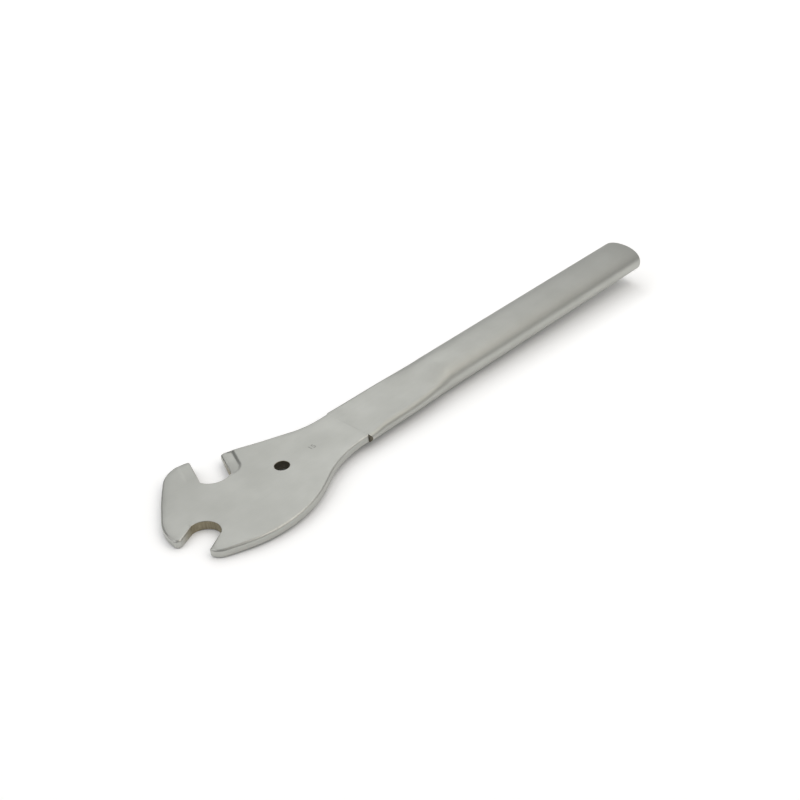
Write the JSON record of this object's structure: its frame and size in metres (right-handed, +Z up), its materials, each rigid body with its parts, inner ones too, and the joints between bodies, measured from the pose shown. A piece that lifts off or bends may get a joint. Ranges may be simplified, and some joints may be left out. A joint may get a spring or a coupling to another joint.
{
  "type": "pedal wrench",
  "caption": "Pedal wrench: a flat steel head with open 15 mm jaws at its side and front, on a long hollow oval handle that is pressed flat over the head's tang.",
  "frame": {"origin": "below the middle of the bounding box, level with the underside of the oval handle", "axes": "+X along the handle, from the head to the open end; +Z up from the head's plate, on the side with the recess; +Y towards the mouth of the side jaw"},
  "size_m": [0.3476, 0.075, 0.0166],
  "materials": {
    "head_steel": "satin, fine grain",
    "handle_steel": "satin, fine grain"
  },
  "bodies": {
    "root": {"head_plate": "head_steel", "handle_tube": "handle_steel"}
  },
  "joints": []
}
